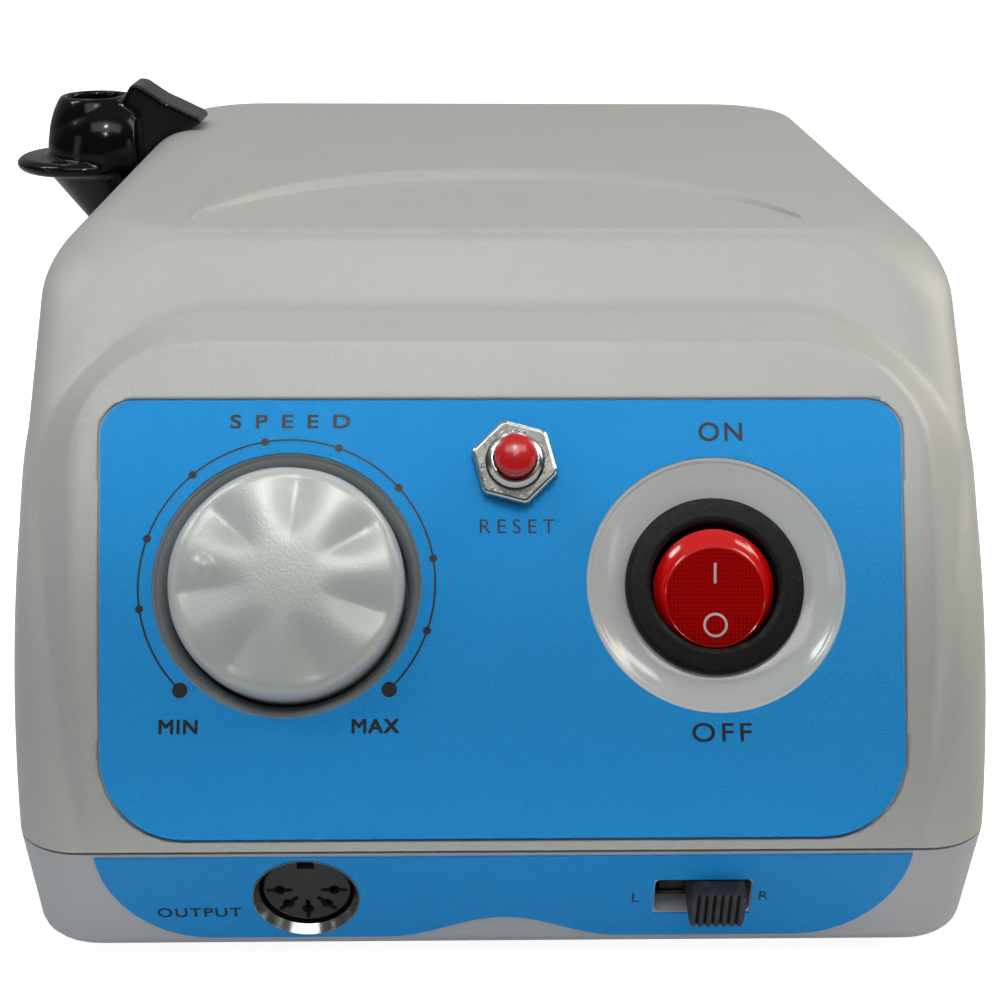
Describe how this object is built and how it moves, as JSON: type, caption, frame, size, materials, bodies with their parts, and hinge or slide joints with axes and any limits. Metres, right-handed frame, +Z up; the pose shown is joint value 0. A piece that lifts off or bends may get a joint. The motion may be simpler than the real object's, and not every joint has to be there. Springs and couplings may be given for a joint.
{
  "type": "dental micromotor control unit",
  "caption": "Dental micromotor control unit: leaning front panel with speed knob, rocker switch and overload button, motor socket and direction slide below, handpiece cup at one side.",
  "frame": {"origin": "on the bench plane that the feet share, under the middle of the case's width and depth", "axes": "+X to the right seen from the front, +Y towards the rear wall, +Z up"},
  "size_m": [0.156, 0.197, 0.0953],
  "materials": {
    "case_grey": "fine-grained warm grey moulding",
    "tray_grey": "fine-grained grey moulding",
    "label_blue": "satin printed polyester film",
    "foot_rubber": "soft matt black",
    "screw_steel": "zinc-plated",
    "knob_pearl": "pearl satin paint",
    "shaft_steel": "turned",
    "brass": "plain",
    "can_steel": "pressed",
    "switch_black": "fine-grained",
    "rocker_red": "translucent",
    "button_red": "smooth",
    "chrome": "bright plated",
    "insert_black": "moulded",
    "slider_black": "ribbed",
    "phenolic": "pressed laminate",
    "lamination": "varnished laminations",
    "winding_tape": "tape over copper",
    "board_green": "solder mask",
    "capacitor_sleeve": "shrink sleeve",
    "anodised": "black anodised",
    "epoxy": "moulded epoxy",
    "relay_case": "moulded case",
    "fitting_black": "moulded",
    "fuse_glass": "clear tube",
    "cup_black": "polished black moulding"
  },
  "bodies": {
    "case": {"upper_housing": "case_grey", "lower_tray": "tray_grey", "front_label": "label_blue", "lower_label": "label_blue", "rubber_feet": "foot_rubber", "housing_screws": "screw_steel", "potentiometer_bush": "brass", "potentiometer_nut": "screw_steel", "potentiometer_body": "can_steel", "potentiometer_terminals": "brass", "power_switch_body": "switch_black", "power_switch_terminals": "brass", "overload_bush": "chrome", "overload_nut": "chrome", "overload_body": "fitting_black", "overload_terminals": "brass", "motor_socket_shell": "chrome", "motor_socket_insert": "insert_black", "motor_socket_contacts": "brass", "motor_socket_screws": "screw_steel", "direction_switch_frame": "can_steel", "direction_switch_base": "phenolic", "direction_switch_screws": "screw_steel", "transformer_core": "lamination", "transformer_winding": "winding_tape", "transformer_bracket": "can_steel", "transformer_screws": "screw_steel", "circuit_board": "board_green", "board_screws": "screw_steel", "filter_capacitors": "capacitor_sleeve", "heat_sink": "anodised", "power_transistor": "epoxy", "bridge_rectifier": "epoxy", "relay": "relay_case", "fuse_holder": "fitting_black", "fuse_nut": "fitting_black", "fuse_link": "fuse_glass", "foot_jack": "fitting_black", "foot_jack_nut": "chrome", "mains_gland": "fitting_black", "handpiece_cup": "cup_black", "handpiece_cup_screws": "screw_steel"},
    "knob": {"speed_knob": "knob_pearl", "potentiometer_shaft": "shaft_steel"},
    "rocker": {"power_rocker": "rocker_red"},
    "button": {"overload_button": "button_red"},
    "slider": {"direction_slider": "slider_black"},
    "fuse_cap": {"fuse_cap": "fitting_black"}
  },
  "joints": [
    {"name": "knob_turn", "type": "hinge", "parent": "case", "child": "knob", "pos_m": [-0.0281, -0.07601, 0.04819], "axis": [0, 0.8339, -0.5519], "range_deg": [-54, 217]},
    {"name": "rocker_tilt", "type": "hinge", "parent": "case", "child": "rocker", "pos_m": [0.0278, -0.07248, 0.04573], "axis": [-1, 0, 0], "range_deg": [0, 24]},
    {"name": "overload_press", "type": "slide", "parent": "case", "child": "button", "axis": [0, 0.8339, -0.5519], "range_m": [0, 0.002], "stiffness_N_per_m": 400, "springref_m": -0.002},
    {"name": "direction_slide", "type": "slide", "parent": "case", "child": "slider", "axis": [-1, 0, 0], "range_m": [0, 0.004]},
    {"name": "fuse_cap_turn", "type": "hinge", "parent": "case", "child": "fuse_cap", "pos_m": [-0.016, 0.097, 0.034], "axis": [0, 1, 0], "range_deg": [0, 60]}
  ]
}
